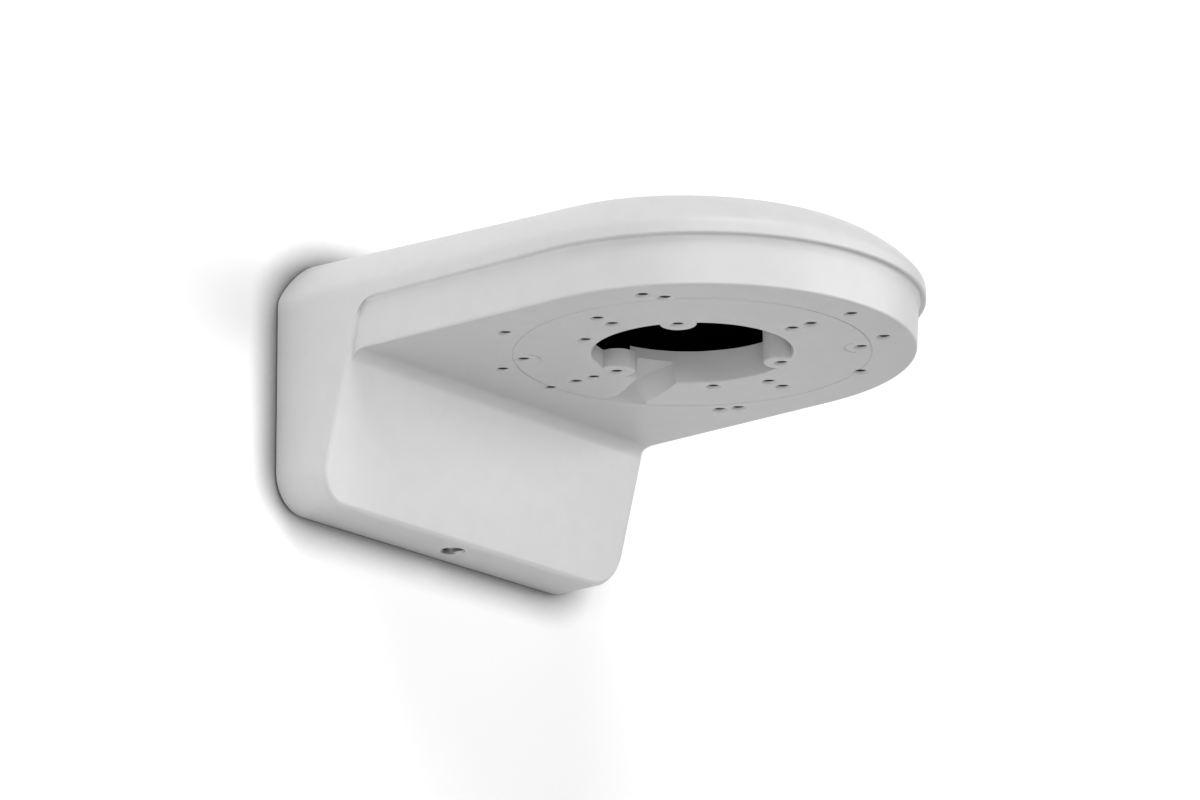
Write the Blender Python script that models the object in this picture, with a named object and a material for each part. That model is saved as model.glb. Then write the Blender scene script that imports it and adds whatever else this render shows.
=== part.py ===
"""Wall bracket for a dome security camera.

An L-shaped aluminium casting hangs on two hooks of a steel plate that is screwed to the wall.
A set screw in the casting's bottom face presses on the plate's flange and locks it.

Frame: metres, +Z up. The wall is the plane Y = 0 and the arm reaches towards -Y.
The camera's seat, the arm's underside, is the plane Z = 0, and X = 0 is the middle.
"""
import math

import bmesh
import bpy
from mathutils import Matrix, Vector

# Driving dimensions of the casting.
WIDTH = 0.122                 # wall part and rim, side to side
WALL_DROP = 0.0385            # the casting's bottom face, below the seat
FOOT_DEPTH = 0.0151           # wall part's depth at its bottom face
SEAT_DEPTH = 0.0256           # the same at the height of the seat
REACH = 0.0903                # wall to the centre of the arm's round end
SKIRT_HEIGHT = 0.0128         # seat to the underside of the rim
RIM_HEIGHT = 0.0185           # rim's underside to its top at the wall, without the crown
TOP_FALL = 0.0049             # how much lower the rim's top is at the round end
CROWN = 0.0030                # how far the middle of the top stands above the rim
SKIRT_RADIUS = 0.0584         # skirt's round end at the seat
SKIRT_HALF_AT_WALL = 0.0598   # skirt's half width where it leaves the wall part
SKIRT_DRAFT = 0.0006          # how much wider the skirt is under the rim
SHOULDER_IN = 0.0145          # soft shoulder between the rim and the top: its width
SHOULDER_DROP = 0.0140        # and its height
SHOULDER_POWER = 1.31         # 2 would be an ellipse, 1 a straight chamfer
CORNER_RADIUS = 0.0100        # bottom corners of the wall part
LIP_RADIUS = 0.0008           # broken edge under the rim
SEAT_FILLET = 0.004           # hollow corner between the wall part and the seat
SHELL = 0.003                 # wall thickness of the casting
WALL_GAP = 0.0004             # the plate stands this far proud of the casting's back
TOUCH_GAP = 0.0003            # gap between neighbours that touch

# The camera's seat.
OPENING_RADIUS = 0.0262       # cable opening
LOBE_RADIUS = 0.0048          # round bosses that stand into the opening
LOBE_ANGLES = (90, 210, 330)  # degrees, 90 points to the wall
LOW_LOBE_HEIGHT = 0.0062      # the boss towards the wall is this high, the others reach the ceiling
COLLAR_HEIGHT = 0.0088        # collar round the opening, above the seat
COLLAR_WALL = 0.0038
NOSE_START = 0.0035           # the collar is full height beyond this distance from the centre
SEAT_THICKNESS = 0.005        # floor of the hollow arm
ARM_WALL = 0.0034             # side wall of the hollow arm, inside the skirt
NOTCH_ANGLE = 60              # cable notch beside the opening
NOTCH_HALF = 0.0057
NOTCH_END = 0.0465
NOTCH_HEIGHT = 0.006
NOTCH_ROOF = 0.0025
HOLE_RADIUS = 0.0015          # tapped holes for the camera's screws
HOLE_CHAMFER = 0.0020
HOLE_DEPTH = 0.0042
# Bolt circles of the cameras that fit: radius, first angle and number of holes.
HOLE_CIRCLES = (
    (0.0251, 90, 3),
    (0.0301, 27.5, 1),
    (0.0301, 152.5, 1),
    (0.0328, 0, 4),
    (0.0388, 0, 4),
    (0.0440, 123.2, 2),
    (0.0476, 90, 3),
    (0.0510, 24.2, 4),
    (0.0516, 30, 3),
)

# Wall plate.
PLATE_HALF = 0.050
PLATE_TOP = 0.0140
PLATE_BOTTOM = -0.0290
PLATE_SHEET = 0.0020
PLATE_CORNER = 0.005
HOOK_X = 0.026
HOOK_HALF = 0.007
HOOK_REACH = 0.0082
HOOK_LIP = 0.0050
HOOK_LEVEL = 0.0100           # underside of the hooks
FLANGE_HALF = 0.012
FLANGE_LEVEL = -0.0250        # underside of the locking flange
FLANGE_REACH = 0.0125
CABLE_SLOT_HALF = 0.018
CABLE_SLOT_TOP = -0.0045
CABLE_SLOT_BOTTOM = -0.0200
HANGER_THICKNESS = 0.0026     # rib of the casting that hangs on the hooks
WALL_SCREW_X = 0.041
WALL_SCREW_LEVELS = (0.0040, -0.0215)

# Fasteners.
LOCK_Y = -0.0085
LOCK_RADIUS = 0.0025
LOCK_LENGTH = 0.0120
LOCK_RECESS = 0.0030
LOCK_SOCKET = 0.0013          # hexagon socket, half the distance across flats
LIFT = 0.006                  # how far the casting lifts off the hooks
SCREW_RADIUS = 0.0019
SCREW_LENGTH = 0.030
SCREW_HEAD_RADIUS = 0.0040
SCREW_HEAD_HEIGHT = 0.0026
SCREW_CROSS = 0.0042
WASHER_RADIUS = 0.0050
WASHER_SHEET = 0.0010
WASHER_HOLE = 0.0022
PLATE_HOLE = 0.0024
ANCHOR_RADIUS = 0.0035
ANCHOR_LENGTH = 0.028
ANCHOR_BORE = 0.00225

ARC_STEP = 6                  # degrees between the corners of a faceted round
HALF = WIDTH / 2
RIM_BOTTOM = SKIRT_HEIGHT
RIM_TOP = SKIRT_HEIGHT + RIM_HEIGHT
HANGER_TOP = RIM_TOP - SHELL - 0.003
HANGER_BACK = -PLATE_SHEET - 2 * TOUCH_GAP
NOSE_CEILING = RIM_TOP - TOP_FALL * 0.84 - SHELL
PANEL_SLOPE = (SEAT_DEPTH - FOOT_DEPTH) / WALL_DROP


def clear_scene():
    """Remove every object, so that the script can run again in the same file."""
    for obj in list(bpy.data.objects):
        bpy.data.objects.remove(obj, do_unlink=True)


def make_material(name, colour, roughness, metallic=0.0):
    material = bpy.data.materials.new(name)
    material.use_nodes = True
    shader = material.node_tree.nodes["Principled BSDF"]
    shader.inputs["Base Color"].default_value = (*colour, 1.0)
    shader.inputs["Roughness"].default_value = roughness
    shader.inputs["Metallic"].default_value = metallic
    return material


def add_object(name, bm, material=None, smooth_angle=30):
    """Put a bmesh into the scene with its faces pointing out."""
    bmesh.ops.remove_doubles(bm, verts=bm.verts, dist=1e-7)
    bmesh.ops.recalc_face_normals(bm, faces=bm.faces)
    mesh = bpy.data.meshes.new(name)
    bm.to_mesh(mesh)
    bm.free()
    mesh.shade_smooth()
    mesh.set_sharp_from_angle(angle=math.radians(smooth_angle))
    obj = bpy.data.objects.new(name, mesh)
    bpy.context.scene.collection.objects.link(obj)
    if material:
        mesh.materials.append(material)
    return obj


def loft(bm, loops):
    """Join closed loops of equal length by quads and cap both ends."""
    rings = [[bm.verts.new(point) for point in loop] for loop in loops]
    count = len(rings[0])
    for low, high in zip(rings, rings[1:]):
        for i in range(count):
            j = (i + 1) % count
            bm.faces.new((low[i], low[j], high[j], high[i]))
    bm.faces.new(rings[0][::-1])
    bm.faces.new(rings[-1])
    return bm


def box(bm, low, high):
    """A box between two corners."""
    (x0, y0, z0), (x1, y1, z1) = low, high
    loops = [[(x0, y0, z), (x1, y0, z), (x1, y1, z), (x0, y1, z)] for z in (z0, z1)]
    return loft(bm, loops)


def turned(bm, profile, steps, matrix):
    """Turn a profile of (radius, height) points round the local Z axis."""
    angles = [math.tau * i / steps for i in range(steps)]
    loops = []
    for radius, height in profile:
        loops.append([matrix @ Vector((radius * math.cos(a), radius * math.sin(a), height)) for a in angles])
    return loft(bm, loops)


def arc(centre, radius, start, end, step=ARC_STEP):
    """Points on an arc, from start to end in degrees."""
    count = max(1, round(abs(end - start) / step))
    points = []
    for i in range(count + 1):
        a = math.radians(start + (end - start) * i / count)
        points.append((centre[0] + radius * math.cos(a), centre[1] + radius * math.sin(a)))
    return points


def rounded_rectangle(half, low, high, low_radius, high_radius, step=15):
    """Outline of a plate, with its own corner radius below and above."""
    points = arc((half - low_radius, low + low_radius), low_radius, -90, 0, step)
    points += arc((half - high_radius, high - high_radius), high_radius, 0, 90, step)
    points += arc((high_radius - half, high - high_radius), high_radius, 90, 180, step)
    points += arc((low_radius - half, low + low_radius), low_radius, 180, 270, step)
    return points


def arm_outline(half_at_wall, radius, start):
    """Plan of the arm: from the wall it runs, straight or tapering, on to the round end."""
    run = REACH - start
    distance = math.hypot(half_at_wall, run)
    tangent = math.degrees(math.atan2(run, half_at_wall) - math.acos(radius / distance))
    end = arc((0, -REACH), radius, tangent, -180 - tangent)
    return [(half_at_wall, -start), *end, (-half_at_wall, -start)]


def add_boolean(target, tool, operation="DIFFERENCE"):
    """Cut or join another object, which then stays as a hidden guide."""
    tool.hide_render = True
    tool.display_type = "WIRE"
    modifier = target.modifiers.new(tool.name, "BOOLEAN")
    modifier.object = tool
    modifier.operation = operation
    modifier.solver = "EXACT"


def panel_y(z):
    """Depth of the inclined front panel at a height."""
    return -(FOOT_DEPTH + PANEL_SLOPE * (z + WALL_DROP))


def shoulder(degrees):
    """How far in and how far down a point of the shoulder is, from 0 at the rim to 90 at the top."""
    a = math.radians(degrees)
    power = 2 / SHOULDER_POWER
    return SHOULDER_IN * (1 - math.cos(a) ** power), SHOULDER_DROP * (1 - math.sin(a) ** power)


def falling(outline, z):
    """Set an outline at a height, sinking towards the round end the more the higher it lies."""
    share = max(0.0, (z - RIM_BOTTOM) / RIM_HEIGHT)
    return [(x, y, z + share * TOP_FALL * y / (REACH + HALF)) for x, y in outline]


def rim_shape():
    """Rim and top: a D with a soft shoulder, a gentle crown and a fall to the front."""
    rings = [(LIP_RADIUS, RIM_BOTTOM), (0, RIM_BOTTOM + LIP_RADIUS)]
    for degrees in (0, 20, 38, 54, 70, 90):
        inset, drop = shoulder(degrees)
        rings.append((inset, RIM_TOP - drop))
    for share in (0.35, 0.7):
        inset = SHOULDER_IN + share * (HALF - SHOULDER_IN)
        rings.append((inset, RIM_TOP + CROWN * (1 - (1 - share) ** 2)))
    loops = [falling(arm_outline(HALF - inset, HALF - inset, WALL_GAP), z) for inset, z in rings]
    return loft(bmesh.new(), loops)


def skirt_shape():
    """Lower part of the arm, set back under the rim and drafted."""
    loops = []
    for widening, z in ((0, 0), (SKIRT_DRAFT, RIM_BOTTOM + 0.002)):
        outline = arm_outline(SKIRT_HALF_AT_WALL + widening, SKIRT_RADIUS + widening, FOOT_DEPTH)
        loops.append([(x, y, z) for x, y in outline])
    return loft(bmesh.new(), loops)


def wall_part_shape():
    """Wall part: a plate outline carried forward to the inclined panel."""
    outline = rounded_rectangle(HALF, -WALL_DROP, RIM_BOTTOM + LIP_RADIUS, CORNER_RADIUS, 0.0005)
    back = [(x, -WALL_GAP, z) for x, z in outline]
    front = [(x, panel_y(z), z) for x, z in outline]
    return loft(bmesh.new(), [back, front])


def seat_fillet_shape():
    """Hollow fillet that fills the corner between the panel and the seat."""
    lean = math.atan(PANEL_SLOPE)
    corner_angle = math.pi / 2 + lean
    run = SEAT_FILLET / math.tan(corner_angle / 2)
    centre = (-SEAT_DEPTH - run, -SEAT_FILLET)
    overlap = 0.001
    start = math.degrees(lean)
    outline = arc(centre, SEAT_FILLET, start, 90, 15)
    outline += [(centre[0], overlap), (-SEAT_DEPTH + 2 * overlap, overlap)]
    outline.append((outline[0][0] + 2 * overlap, outline[0][1]))
    half = SKIRT_HALF_AT_WALL - 0.0005
    loops = [[(x, y, z) for y, z in outline] for x in (-half, half)]
    return loft(bmesh.new(), loops)


def wall_cavity_shape():
    """Space for the wall plate, open at the back of the wall part."""
    half = HALF - SHELL
    radius = CORNER_RADIUS - SHELL
    right = arc((half - radius, -WALL_DROP + SHELL + radius), radius, -90, 0, 30)
    for degrees in (0, 25, 50, 90):
        inset, drop = shoulder(degrees)
        right.append((half - inset, HANGER_TOP - drop))
    outline = right + [(-x, z) for x, z in reversed(right)]
    behind = [(x, 0.002, z) for x, z in outline]
    front = [(x, panel_y(min(z, 0)) + SHELL, z) for x, z in outline]
    return loft(bmesh.new(), [behind, front])


def channel_shape():
    """Hollow of the arm, open to the wall part, that takes the cable."""
    start = -HANGER_BACK + HANGER_THICKNESS + 0.0006
    side = HALF - SKIRT_RADIUS + ARM_WALL
    rings = [(side, SEAT_THICKNESS)]
    for degrees in (0, 35, 60, 90):
        inset, drop = shoulder(degrees)
        rings.append((side + inset, RIM_TOP - SHELL - drop))
    loops = [falling(arm_outline(HALF - inset, HALF - inset, start), z) for inset, z in rings]
    return loft(bmesh.new(), loops)


def collar_shape():
    """Low collar round the opening, on the side of the wall."""
    place = Matrix.Translation((0, -REACH, 0))
    radius = OPENING_RADIUS + COLLAR_WALL
    return turned(bmesh.new(), [(radius, SEAT_THICKNESS - 0.001), (radius, COLLAR_HEIGHT)], 48, place)


def nose_shape():
    """The collar's other half, which stands up to the ceiling."""
    radius = OPENING_RADIUS + COLLAR_WALL - 0.0002
    outline = arc((0, -REACH - NOSE_START), radius, 0, -180)
    loops = [[(x, y, z) for x, y in outline] for z in (SEAT_THICKNESS - 0.0015, NOSE_CEILING + 0.0016)]
    return loft(bmesh.new(), loops)


def opening_outline(bosses):
    """The opening's circle, with round bosses standing into it at the given angles."""
    boss_centre = HOLE_CIRCLES[0][0]
    reach = (OPENING_RADIUS ** 2 + boss_centre ** 2 - LOBE_RADIUS ** 2) / (2 * OPENING_RADIUS * boss_centre)
    half_cut = math.degrees(math.acos(reach))
    points = []
    for here, after in zip(bosses, (*bosses[1:], bosses[0] + 360)):
        a = math.radians(here)
        boss = (boss_centre * math.cos(a), boss_centre * math.sin(a))
        cut = math.radians(here + half_cut)
        dx = OPENING_RADIUS * math.cos(cut) - boss[0]
        dy = OPENING_RADIUS * math.sin(cut) - boss[1]
        turn = (math.degrees(math.atan2(dy, dx)) - here) % 360
        points += arc(boss, LOBE_RADIUS, here + 360 - turn, here + turn, 25)[1:-1]
        points += arc((0, 0), OPENING_RADIUS, here + half_cut, after - half_cut)
    return points


def opening_shape(bosses, low, high):
    """Cutter of the opening between two heights."""
    outline = opening_outline(bosses)
    loops = [[(x, y - REACH, z) for x, y in outline] for z in (low, high)]
    return loft(bmesh.new(), loops)


def notch_block(inner, outer, half, low, high):
    """A block along the cable notch's direction, between two distances from the opening's centre."""
    bm = box(bmesh.new(), (inner, -half, low), (outer, half, high))
    turn = Matrix.Translation((0, -REACH, 0)) @ Matrix.Rotation(math.radians(NOTCH_ANGLE), 4, "Z")
    bmesh.ops.transform(bm, matrix=turn, verts=bm.verts)
    return bm


def notch_shape():
    """Slot that leads a cable from the opening out under the camera's edge."""
    return notch_block(OPENING_RADIUS - 0.004, NOTCH_END, NOTCH_HALF, -0.001, NOTCH_HEIGHT)


def notch_roof_shape():
    """Roof over the notch, where it is higher than the seat is thick."""
    inner = OPENING_RADIUS + 0.001
    end, half, top = NOTCH_END + NOTCH_ROOF, NOTCH_HALF + NOTCH_ROOF, NOTCH_HEIGHT + NOTCH_ROOF
    return notch_block(inner, end, half, SEAT_THICKNESS - 0.001, top)


def screw_holes_shape():
    """Blind tapped holes with a chamfered mouth, in the seat."""
    bm = bmesh.new()
    profile = [(HOLE_CHAMFER + 0.0005, -0.0005), (HOLE_RADIUS, HOLE_CHAMFER - HOLE_RADIUS)]
    profile.append((HOLE_RADIUS, HOLE_DEPTH))
    for radius, first, count in HOLE_CIRCLES:
        step = 360 / count
        for i in range(count):
            a = math.radians(first + i * step)
            place = Vector((radius * math.cos(a), radius * math.sin(a) - REACH, 0))
            turned(bm, profile, 12, Matrix.Translation(place))
    return bm


def lock_boss_shape():
    """Boss inside the wall part that carries the set screw's thread."""
    place = Matrix.Translation((0, LOCK_Y, 0))
    top = FLANGE_LEVEL - LIFT - 0.0005
    return turned(bmesh.new(), [(0.0052, -WALL_DROP + 0.001), (0.0052, top)], 24, place)


def lock_hole_shape():
    """Tapped hole for the set screw, through the bottom face and the boss."""
    place = Matrix.Translation((0, LOCK_Y, 0))
    radius = LOCK_RADIUS + TOUCH_GAP
    return turned(bmesh.new(), [(radius, -WALL_DROP - 0.001), (radius, FLANGE_LEVEL - 0.003)], 24, place)


def hanger_shape():
    """Rib under the casting's top that hangs on the plate's hooks."""
    back = HANGER_BACK
    low = HOOK_LEVEL + PLATE_SHEET + TOUCH_GAP
    half = HOOK_X + HOOK_HALF + 0.012
    return box(bmesh.new(), (-half, back - HANGER_THICKNESS, low), (half, back, HANGER_TOP + 0.001))


def build_casting(material, parent):
    """The one-piece bracket: outer shape first, then its hollows."""
    body = add_object("bracket_body", wall_part_shape(), material)
    joins = (
        ("skirt_guide", skirt_shape()),
        ("rim_guide", rim_shape()),
        ("fillet_guide", seat_fillet_shape()),
    )
    for name, shape in joins:
        add_boolean(body, add_object(name, shape), "UNION")
    for name, shape in (("cavity_guide", wall_cavity_shape()), ("channel_guide", channel_shape())):
        add_boolean(body, add_object(name, shape))
    inner_joins = (
        ("collar_guide", collar_shape()),
        ("nose_guide", nose_shape()),
        ("notch_roof_guide", notch_roof_shape()),
        ("hanger_guide", hanger_shape()),
        ("lock_boss_guide", lock_boss_shape()),
    )
    for name, shape in inner_joins:
        add_boolean(body, add_object(name, shape), "UNION")
    cuts = (
        ("opening_guide", opening_shape(LOBE_ANGLES, -0.002, LOW_LOBE_HEIGHT)),
        ("upper_opening_guide", opening_shape(LOBE_ANGLES[1:], LOW_LOBE_HEIGHT, NOSE_CEILING)),
        ("notch_guide", notch_shape()),
        ("holes_guide", screw_holes_shape()),
        ("lock_hole_guide", lock_hole_shape()),
    )
    for name, shape in cuts:
        add_boolean(body, add_object(name, shape))
    body.parent = parent
    return body


def plate_outline():
    """Plate seen from the front, with a gap at the bottom where the flange is bent out."""
    gap_half = FLANGE_HALF + 0.001
    points = rounded_rectangle(PLATE_HALF, PLATE_BOTTOM, PLATE_TOP, PLATE_CORNER, PLATE_CORNER)
    points.append((-gap_half, PLATE_BOTTOM))
    points.append((-gap_half, FLANGE_LEVEL))
    points.append((gap_half, FLANGE_LEVEL))
    points.append((gap_half, PLATE_BOTTOM))
    return points


def through_plate(outline):
    """A cutter through the sheet, from an outline of (x, z) points."""
    loops = [[(x, y, z) for x, z in outline] for y in (0.002, -PLATE_SHEET - 0.002)]
    return loft(bmesh.new(), loops)


def hook_shape(x):
    """L-shaped hook bent out of the plate: a shelf and an upturned lip."""
    z0 = HOOK_LEVEL
    z1 = z0 + PLATE_SHEET
    lip = -HOOK_REACH + PLATE_SHEET
    side = [(-0.001, z0), (-0.001, z1), (lip, z1), (lip, z1 + HOOK_LIP)]
    side += [(-HOOK_REACH, z1 + HOOK_LIP), (-HOOK_REACH, z0 + 0.001), (-HOOK_REACH + 0.001, z0)]
    loops = [[(x + shift, y, z) for y, z in side] for shift in (-HOOK_HALF, HOOK_HALF)]
    return loft(bmesh.new(), loops)


def flange_shape():
    """Flange under which the set screw presses."""
    low = (-FLANGE_HALF, -FLANGE_REACH, FLANGE_LEVEL)
    return box(bmesh.new(), low, (FLANGE_HALF, -0.001, FLANGE_LEVEL + PLATE_SHEET))


def build_plate(material):
    """Wall plate of bent sheet steel."""
    outline = plate_outline()
    loops = [[(x, y, z) for x, z in outline] for y in (0, -PLATE_SHEET)]
    plate = add_object("wall_plate", loft(bmesh.new(), loops), material)
    slot_radius = (CABLE_SLOT_TOP - CABLE_SLOT_BOTTOM) / 2 - 0.0001
    slot = rounded_rectangle(CABLE_SLOT_HALF, CABLE_SLOT_BOTTOM, CABLE_SLOT_TOP, slot_radius, slot_radius)
    add_boolean(plate, add_object("cable_slot_guide", through_plate(slot)))
    window = HOOK_REACH + HOOK_LIP - PLATE_SHEET
    for sign in (-1, 1):
        low, high = HOOK_X - HOOK_HALF - 0.0005, HOOK_X + HOOK_HALF + 0.0005
        top = HOOK_LEVEL
        sill = top - window
        corners = [(sign * x, z) for x, z in ((low, sill), (high, sill), (high, top), (low, top))]
        add_boolean(plate, add_object("hook_window_guide", through_plate(corners)))
        add_boolean(plate, add_object("hook_guide", hook_shape(sign * HOOK_X)), "UNION")
    add_boolean(plate, add_object("flange_guide", flange_shape()), "UNION")
    for x, z in wall_screw_places():
        hole = [(x + px, z + pz) for px, pz in arc((0, 0), PLATE_HOLE, 0, 345, 15)]
        add_boolean(plate, add_object("screw_hole_guide", through_plate(hole)))
    return plate


def wall_screw_places():
    """Positions of the four wall screws as (x, z)."""
    return [(sign * WALL_SCREW_X, z) for z in WALL_SCREW_LEVELS for sign in (-1, 1)]


def place_on_wall(obj, x, z):
    """Turn a piece modelled along Z so that its top points out of the wall."""
    obj.location = (x, 0, z)
    obj.rotation_euler = (math.radians(90), 0, 0)


def cross_recess_shape(top):
    """Cross recess of a screw head: four tapering wings."""
    bm = bmesh.new()
    half, wing, depth = SCREW_CROSS / 2, 0.0006, 0.0016
    outline = [(half, -wing), (half, wing), (wing, wing), (wing, half), (-wing, half), (-wing, wing)]
    outline += [(-half, wing), (-half, -wing), (-wing, -wing), (-wing, -half), (wing, -half), (wing, -wing)]
    deep = [(x * 0.55, y * 0.55, top - depth) for x, y in outline]
    return loft(bm, [deep, [(x, y, top + 0.0005) for x, y in outline]])


def wall_screw_mesh(material):
    """Pan-head screw along Z; the wall's face is at 0 and the tip is below."""
    seat = PLATE_SHEET + WASHER_SHEET + 2 * TOUCH_GAP
    top = seat + SCREW_HEAD_HEIGHT
    tip = seat - SCREW_LENGTH
    profile = [(0.0003, tip), (SCREW_RADIUS, tip + 0.0035), (SCREW_RADIUS, seat), (SCREW_HEAD_RADIUS, seat)]
    profile += [(SCREW_HEAD_RADIUS, seat + 0.0010), (SCREW_HEAD_RADIUS * 0.88, seat + 0.0020)]
    profile.append((SCREW_HEAD_RADIUS * 0.62, top))
    screw = add_object("wall_screw_1", turned(bmesh.new(), profile, 20, Matrix()), material)
    recess = add_object("cross_recess_guide", cross_recess_shape(top))
    add_boolean(screw, recess)
    return bake(screw, recess)


def washer_mesh(material):
    """Flat washer round the screw, in front of the plate."""
    low = PLATE_SHEET + TOUCH_GAP
    high = low + WASHER_SHEET
    disc = turned(bmesh.new(), [(WASHER_RADIUS, low), (WASHER_RADIUS, high)], 24, Matrix())
    washer = add_object("wall_washer_1", disc, material)
    hole = turned(bmesh.new(), [(WASHER_HOLE, low - 0.001), (WASHER_HOLE, high + 0.001)], 20, Matrix())
    bore = add_object("washer_bore_guide", hole)
    add_boolean(washer, bore)
    return bake(washer, bore)


def anchor_mesh(material):
    """Expansion plug in the wall: a ribbed tube, split crosswise behind its collar."""
    mouth = -TOUCH_GAP
    root = ANCHOR_RADIUS - 0.0004
    profile = [(ANCHOR_RADIUS - 0.0006, -ANCHOR_LENGTH)]
    ribs = 5
    for i in range(ribs):
        low = -ANCHOR_LENGTH + 0.002 + i * 0.0036
        profile += [(root, low), (ANCHOR_RADIUS, low + 0.0006), (root, low + 0.0026)]
    profile += [(root, -0.006), (root, -0.0012), (ANCHOR_RADIUS + 0.0008, mouth)]
    anchor = add_object("wall_anchor_1", turned(bmesh.new(), profile, 16, Matrix()), material)
    bore_profile = [(ANCHOR_BORE, -ANCHOR_LENGTH - 0.001), (ANCHOR_BORE, 0.001)]
    cutters = [add_object("anchor_bore_guide", turned(bmesh.new(), bore_profile, 16, Matrix()))]
    slot = 0.0005
    wide = ANCHOR_RADIUS + 0.001
    for x, y in ((slot, wide), (wide, slot)):
        shape = box(bmesh.new(), (-x, -y, -ANCHOR_LENGTH - 0.001), (x, y, -0.011))
        cutters.append(add_object("anchor_slot_guide", shape))
    for cutter in cutters:
        add_boolean(anchor, cutter)
    return bake(anchor, *cutters)


def bake(obj, *guides):
    """Apply an object's modifiers to its mesh, so that copies can share it, and drop its guides."""
    graph = bpy.context.evaluated_depsgraph_get()
    mesh = bpy.data.meshes.new_from_object(obj.evaluated_get(graph), depsgraph=graph)
    mesh.name = obj.data.name
    obj.modifiers.clear()
    obj.data = mesh
    for guide in guides:
        bpy.data.objects.remove(guide, do_unlink=True)
    return obj


def build_wall_fasteners(steel, plastic):
    """Four screws with their washers and plugs, which share their meshes."""
    for build, material in ((wall_screw_mesh, steel), (washer_mesh, steel), (anchor_mesh, plastic)):
        first = build(material)
        stem = first.name[:-1]
        for number, (x, z) in enumerate(wall_screw_places(), start=1):
            piece = first
            if number > 1:
                piece = bpy.data.objects.new(f"{stem}{number}", first.data)
                bpy.context.scene.collection.objects.link(piece)
            place_on_wall(piece, x, z)


def build_lock_screw(material, parent):
    """Set screw with a hexagon socket, its tip just under the flange."""
    high = FLANGE_LEVEL - TOUCH_GAP
    low = high - LOCK_LENGTH
    bevel = 0.0005
    profile = [(LOCK_RADIUS - bevel, 0), (LOCK_RADIUS, bevel), (LOCK_RADIUS, LOCK_LENGTH - bevel)]
    profile.append((LOCK_RADIUS - bevel, LOCK_LENGTH))
    screw = add_object("locking_screw", turned(bmesh.new(), profile, 24, Matrix()), material)
    corner = LOCK_SOCKET / math.cos(math.radians(30))
    hexagon = turned(bmesh.new(), [(corner, -0.001), (corner, LOCK_RECESS)], 6, Matrix())
    socket = add_object("socket_guide", hexagon)
    add_boolean(screw, socket)
    bake(screw, socket)
    screw.location = (0, LOCK_Y, low)
    screw.parent = parent
    return screw


def main():
    clear_scene()
    powder_coat = make_material("white_powder_coat", (0.78, 0.78, 0.77), 0.45)
    zinc_steel = make_material("zinc_plated_steel", (0.62, 0.63, 0.65), 0.32, 1.0)
    stainless = make_material("stainless_steel", (0.58, 0.58, 0.59), 0.25, 1.0)
    plug_plastic = make_material("grey_polyamide", (0.42, 0.43, 0.44), 0.55)

    lift = bpy.data.objects.new("bracket_lift", None)
    bpy.context.scene.collection.objects.link(lift)
    lock_travel = bpy.data.objects.new("lock_screw_travel", None)
    bpy.context.scene.collection.objects.link(lock_travel)
    lock_travel.parent = lift

    build_casting(powder_coat, lift)
    build_lock_screw(stainless, lock_travel)
    build_plate(zinc_steel)
    build_wall_fasteners(zinc_steel, plug_plastic)


main()
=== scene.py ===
import math

import bmesh
import bpy
import numpy as np
from mathutils import Matrix, Vector


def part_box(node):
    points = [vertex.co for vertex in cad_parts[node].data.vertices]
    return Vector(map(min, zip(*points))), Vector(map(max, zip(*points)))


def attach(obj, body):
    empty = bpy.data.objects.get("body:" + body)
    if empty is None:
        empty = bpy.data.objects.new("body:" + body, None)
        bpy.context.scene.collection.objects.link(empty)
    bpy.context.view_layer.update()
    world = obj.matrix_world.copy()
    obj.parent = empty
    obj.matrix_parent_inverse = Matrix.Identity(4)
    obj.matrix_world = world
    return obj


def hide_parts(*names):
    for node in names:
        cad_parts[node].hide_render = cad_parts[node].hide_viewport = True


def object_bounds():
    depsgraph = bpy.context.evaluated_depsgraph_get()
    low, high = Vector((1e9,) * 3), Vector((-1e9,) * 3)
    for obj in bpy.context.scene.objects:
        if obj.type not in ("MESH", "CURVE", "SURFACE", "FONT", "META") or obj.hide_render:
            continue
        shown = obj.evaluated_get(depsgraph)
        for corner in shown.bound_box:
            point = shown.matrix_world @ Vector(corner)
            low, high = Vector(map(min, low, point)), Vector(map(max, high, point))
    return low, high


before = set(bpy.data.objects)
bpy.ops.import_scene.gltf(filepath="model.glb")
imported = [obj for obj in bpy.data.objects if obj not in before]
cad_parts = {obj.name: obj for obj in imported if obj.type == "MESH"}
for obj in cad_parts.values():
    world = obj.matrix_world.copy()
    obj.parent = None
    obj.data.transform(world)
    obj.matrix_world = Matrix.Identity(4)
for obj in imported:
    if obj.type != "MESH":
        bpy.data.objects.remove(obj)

# A wall bracket for a dome camera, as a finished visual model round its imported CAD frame.
# Everything is in metres: the wall is y = 0, the arm reaches towards -y and its underside is z = 0.

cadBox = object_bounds()
print("frame loaded:", len(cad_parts), "CAD nodes")


def linearColour(hexText):
    # each sRGB channel c becomes c/12.92 below 0.04045 and ((c+0.055)/1.055)^2.4 above it
    channels = np.array([int(hexText[i:i + 2], 16) for i in (1, 3, 5)]) / 255
    linear = np.where(channels <= 0.04045, channels / 12.92, ((channels + 0.055) / 1.055) ** 2.4)
    return (*linear.tolist(), 1.0)


def addNode(tree, kind, settings=None, inputs=None):
    # settings are the node's own choices; an input is a fixed value, or an output socket to link from
    node = tree.nodes.new(kind)
    for name, value in (settings or {}).items():
        setattr(node, name, value)
    for name, value in (inputs or {}).items():
        if isinstance(value, bpy.types.NodeSocket):
            tree.links.new(value, node.inputs[name])
        else:
            node.inputs[name].default_value = value
    return node


def newMaterial(name):
    material = bpy.data.materials.new(name)
    material.use_nodes = True
    tree = material.node_tree
    tree.nodes.clear()
    place = addNode(tree, "ShaderNodeTexCoord").outputs["Object"]
    return material, tree, place


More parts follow.
